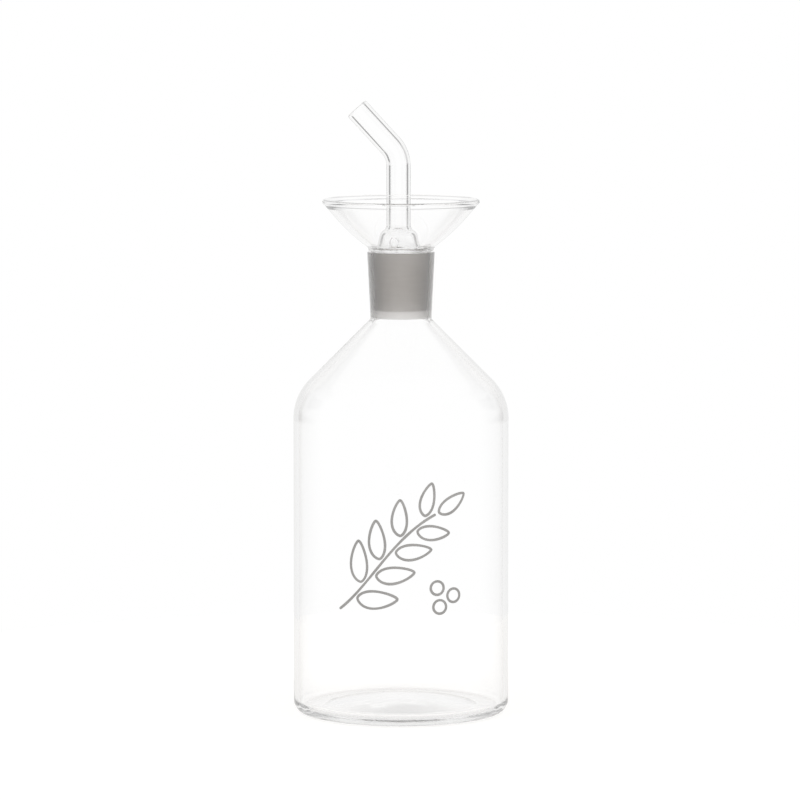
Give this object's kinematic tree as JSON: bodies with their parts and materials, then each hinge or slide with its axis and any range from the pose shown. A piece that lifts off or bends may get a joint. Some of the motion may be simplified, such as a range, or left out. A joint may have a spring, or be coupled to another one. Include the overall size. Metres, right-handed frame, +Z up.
{
  "type": "vinegar cruet",
  "caption": "Clear glass vinegar cruet: a cylindrical bottle with a ground neck and a lift-out stopper whose bent pouring tube rises from an open drip bowl.",
  "frame": {"origin": "centre of the base, on the plane that the bottle stands on", "axes": "+Z up along the bottle's axis, -X the way the tube pours, -Y the front"},
  "size_m": [0.08, 0.08, 0.2281],
  "materials": {
    "clear_glass": "clear borosilicate glass, fire polished",
    "ground_glass": "glass ground to a fine matt grey"
  },
  "bodies": {
    "bottle": {"bottle_body": "clear_glass", "neck_socket": "ground_glass"},
    "stopper": {"stopper_cone": "ground_glass", "funnel_bowl": "clear_glass", "tube_bell": "clear_glass", "pour_tube": "clear_glass"}
  },
  "joints": [
    {"name": "stopper_lift", "type": "slide", "parent": "bottle", "child": "stopper", "axis": [0, 0, 1], "range_m": [0, 0.045]}
  ]
}
